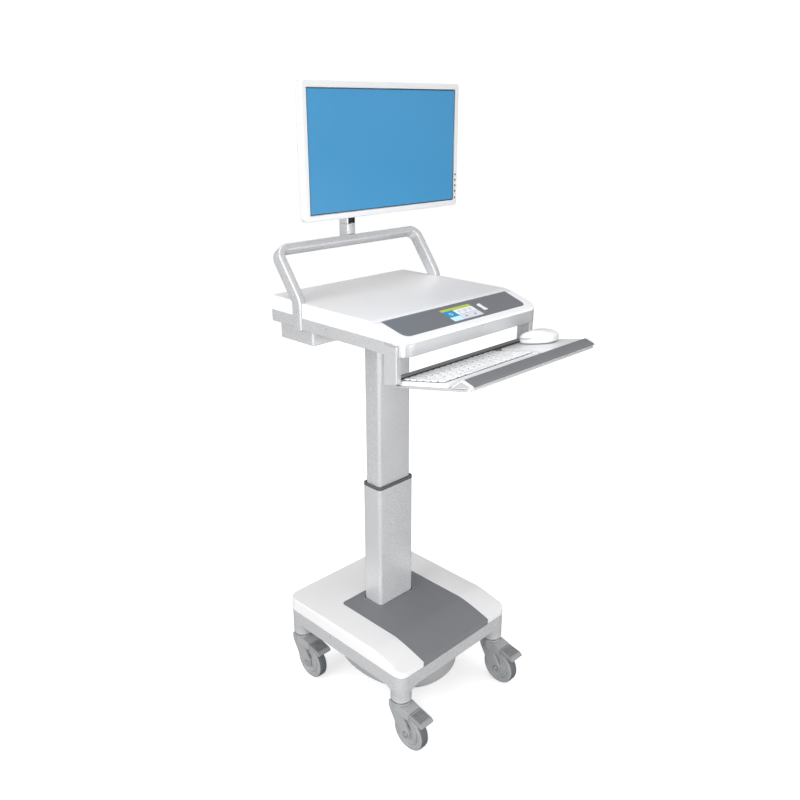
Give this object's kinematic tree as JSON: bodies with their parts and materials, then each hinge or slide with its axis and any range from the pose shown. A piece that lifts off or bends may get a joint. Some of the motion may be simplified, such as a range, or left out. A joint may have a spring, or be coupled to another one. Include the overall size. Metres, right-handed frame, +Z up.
{
  "type": "medication cart",
  "caption": "Height-adjustable medication cart on swivel casters, with a work head, a tilting keyboard tray and a swivelling monitor.",
  "frame": {"origin": "on the floor under the middle of the cart's bounding box", "axes": "+Z up, +X to the right of a user who faces +Y, and the keyboard tray is on the -Y side"},
  "size_m": [0.493, 0.6538, 1.5937],
  "materials": {
    "silver_paint": "fine textured silver powder coat",
    "white_plastic": "satin white moulded plastic",
    "dark_grey_plastic": "matte dark grey moulded plastic",
    "black_plastic": "matte black plastic",
    "caster_plastic": "matte mid-grey nylon",
    "tread_rubber": "dark grey non-marking tread",
    "cast_weight": "plain casting",
    "steel": "bright turned or cut steel",
    "screen_blue": "lit screen with a plain blue picture",
    "display_pale": "lit status display"
  },
  "bodies": {
    "base": {"base_frame": "silver_paint", "base_cover": "white_plastic", "base_centre_cover": "dark_grey_plastic", "underpan": "silver_paint", "battery_pack": "black_plastic", "counterweight": "cast_weight", "column_lower_tube": "silver_paint", "column_wiper_ring": "black_plastic", "lift_actuator": "black_plastic"},
    "lift": {"column_upper_tube": "silver_paint", "column_glide_sleeve": "black_plastic", "lift_rod": "steel", "head_mount_plate": "steel", "head_frame": "silver_paint", "top_cover": "white_plastic", "control_panel": "dark_grey_plastic", "display_glass": "display_pale", "handle_loop": "silver_paint", "monitor_post": "silver_paint", "electronics_box": "silver_paint", "tray_bracket_left": "silver_paint", "tray_bracket_right": "silver_paint"},
    "height_rocker": {"height_rocker": "white_plastic"},
    "swivel": {"swivel_head": "silver_paint"},
    "monitor": {"tilt_bracket": "black_plastic", "monitor_rear_housing": "white_plastic", "monitor_bezel": "white_plastic", "lcd_panel": "screen_blue"},
    "tray": {"keyboard_tray": "silver_paint", "tray_back_rail": "dark_grey_plastic", "tray_front_lip": "white_plastic", "wrist_rest": "dark_grey_plastic", "mouse_platform": "white_plastic", "keyboard_case": "white_plastic"},
    "keys": {"keyboard_keys": "white_plastic"},
    "mouse": {"mouse_body": "white_plastic"},
    "mouse_button_left": {"mouse_button_left": "white_plastic"},
    "mouse_button_right": {"mouse_button_right": "white_plastic"},
    "mouse_wheel": {"mouse_wheel": "dark_grey_plastic"},
    "power_button": {"power_button": "black_plastic"},
    "caster_front_left": {"caster_fork_front_left": "caster_plastic"},
    "wheel_front_left": {"caster_tyre_front_left": "tread_rubber", "caster_hub_front_left": "caster_plastic"},
    "pedal_front_left": {"brake_pedal_front_left": "caster_plastic"},
    "caster_front_right": {"caster_fork_front_right": "caster_plastic"},
    "wheel_front_right": {"caster_tyre_front_right": "tread_rubber", "caster_hub_front_right": "caster_plastic"},
    "pedal_front_right": {"brake_pedal_front_right": "caster_plastic"},
    "caster_rear_left": {"caster_fork_rear_left": "caster_plastic"},
    "wheel_rear_left": {"caster_tyre_rear_left": "tread_rubber", "caster_hub_rear_left": "caster_plastic"},
    "pedal_rear_left": {"brake_pedal_rear_left": "caster_plastic"},
    "caster_rear_right": {"caster_fork_rear_right": "caster_plastic"},
    "wheel_rear_right": {"caster_tyre_rear_right": "tread_rubber", "caster_hub_rear_right": "caster_plastic"},
    "pedal_rear_right": {"brake_pedal_rear_right": "caster_plastic"},
    "menu_button_1": {"menu_button_1": "black_plastic"},
    "menu_button_2": {"menu_button_2": "black_plastic"},
    "menu_button_3": {"menu_button_3": "black_plastic"},
    "menu_button_4": {"menu_button_4": "black_plastic"}
  },
  "joints": [
    {"name": "swivel_front_left", "type": "hinge", "parent": "base", "child": "caster_front_left", "pos_m": [-0.1816, -0.09512, 0.1235], "axis": [0, 0, 1], "continuous": true},
    {"name": "wheel_spin_front_left", "type": "hinge", "parent": "caster_front_left", "child": "wheel_front_left", "pos_m": [-0.1816, -0.13112, 0.05], "axis": [1, 0, 0], "continuous": true},
    {"name": "pedal_press_front_left", "type": "hinge", "parent": "caster_front_left", "child": "pedal_front_left", "pos_m": [-0.1816, -0.14412, 0.107], "axis": [1, 0, 0], "range_deg": [0, 12], "stiffness_Nm_per_rad": 2},
    {"name": "swivel_front_right", "type": "hinge", "parent": "base", "child": "caster_front_right", "pos_m": [0.1816, -0.09512, 0.1235], "axis": [0, 0, 1], "continuous": true},
    {"name": "wheel_spin_front_right", "type": "hinge", "parent": "caster_front_right", "child": "wheel_front_right", "pos_m": [0.1816, -0.13112, 0.05], "axis": [1, 0, 0], "continuous": true},
    {"name": "pedal_press_front_right", "type": "hinge", "parent": "caster_front_right", "child": "pedal_front_right", "pos_m": [0.1816, -0.14412, 0.107], "axis": [1, 0, 0], "range_deg": [0, 12], "stiffness_Nm_per_rad": 2},
    {"name": "swivel_rear_left", "type": "hinge", "parent": "base", "child": "caster_rear_left", "pos_m": [-0.1816, 0.29988, 0.1235], "axis": [0, 0, 1], "continuous": true},
    {"name": "wheel_spin_rear_left", "type": "hinge", "parent": "caster_rear_left", "child": "wheel_rear_left", "pos_m": [-0.1816, 0.26388, 0.05], "axis": [1, 0, 0], "continuous": true},
    {"name": "pedal_press_rear_left", "type": "hinge", "parent": "caster_rear_left", "child": "pedal_rear_left", "pos_m": [-0.1816, 0.25088, 0.107], "axis": [1, 0, 0], "range_deg": [0, 12], "stiffness_Nm_per_rad": 2},
    {"name": "swivel_rear_right", "type": "hinge", "parent": "base", "child": "caster_rear_right", "pos_m": [0.1816, 0.29988, 0.1235], "axis": [0, 0, 1], "continuous": true},
    {"name": "wheel_spin_rear_right", "type": "hinge", "parent": "caster_rear_right", "child": "wheel_rear_right", "pos_m": [0.1816, 0.26388, 0.05], "axis": [1, 0, 0], "continuous": true},
    {"name": "pedal_press_rear_right", "type": "hinge", "parent": "caster_rear_right", "child": "pedal_rear_right", "pos_m": [0.1816, 0.25088, 0.107], "axis": [1, 0, 0], "range_deg": [0, 12], "stiffness_Nm_per_rad": 2},
    {"name": "column_lift", "type": "slide", "parent": "base", "child": "lift", "axis": [0, 0, 1], "range_m": [-0.28, 0.015]},
    {"name": "rocker_tilt", "type": "hinge", "parent": "lift", "child": "height_rocker", "pos_m": [0.081, -0.09932, 1.09979], "axis": [1, 0, 0], "range_deg": [-6, 6], "stiffness_Nm_per_rad": 0.5},
    {"name": "monitor_pan", "type": "hinge", "parent": "lift", "child": "swivel", "pos_m": [0, 0.27918, 1.2665], "axis": [0, 0, 1], "range_deg": [-45, 45]},
    {"name": "monitor_tilt", "type": "hinge", "parent": "swivel", "child": "monitor", "pos_m": [0, 0.25408, 1.42], "axis": [1, 0, 0], "range_deg": [-20, 5]},
    {"name": "menu_button_1_press", "type": "slide", "parent": "monitor", "child": "menu_button_1", "axis": [0, 1, 0], "range_m": [0, 0.0008], "stiffness_N_per_m": 500},
    {"name": "menu_button_2_press", "type": "slide", "parent": "monitor", "child": "menu_button_2", "axis": [0, 1, 0], "range_m": [0, 0.0008], "stiffness_N_per_m": 500},
    {"name": "menu_button_3_press", "type": "slide", "parent": "monitor", "child": "menu_button_3", "axis": [0, 1, 0], "range_m": [0, 0.0008], "stiffness_N_per_m": 500},
    {"name": "menu_button_4_press", "type": "slide", "parent": "monitor", "child": "menu_button_4", "axis": [0, 1, 0], "range_m": [0, 0.0008], "stiffness_N_per_m": 500},
    {"name": "power_button_press", "type": "slide", "parent": "monitor", "child": "power_button", "axis": [0, 1, 0], "range_m": [0, 0.0008], "stiffness_N_per_m": 500},
    {"name": "tray_tilt", "type": "hinge", "parent": "lift", "child": "tray", "pos_m": [0, -0.10945, 0.99046], "axis": [1, 0, 0], "range_deg": [-3, 20]},
    {"name": "keys_press", "type": "slide", "parent": "tray", "child": "keys", "axis": [0, 0.1959, 0.9806], "range_m": [-0.002, 0], "stiffness_N_per_m": 4000},
    {"name": "mouse_slide", "type": "slide", "parent": "tray", "child": "mouse", "axis": [0, -0.9806, 0.1959], "range_m": [-0.01, 0.035]},
    {"name": "mouse_left_click", "type": "hinge", "parent": "mouse", "child": "mouse_button_left", "pos_m": [0.15478, -0.19834, 1.03922], "axis": [-0.9903, -0.1365, 0.0273], "range_deg": [0, 2], "stiffness_Nm_per_rad": 0.5},
    {"name": "mouse_right_click", "type": "hinge", "parent": "mouse", "child": "mouse_button_right", "pos_m": [0.17855, -0.19507, 1.03857], "axis": [-0.9903, -0.1365, 0.0273], "range_deg": [0, 2], "stiffness_Nm_per_rad": 0.5},
    {"name": "scroll_spin", "type": "hinge", "parent": "mouse", "child": "mouse_wheel", "pos_m": [0.16367, -0.1761, 1.03335], "axis": [0.9903, 0.1365, -0.0273], "continuous": true}
  ]
}
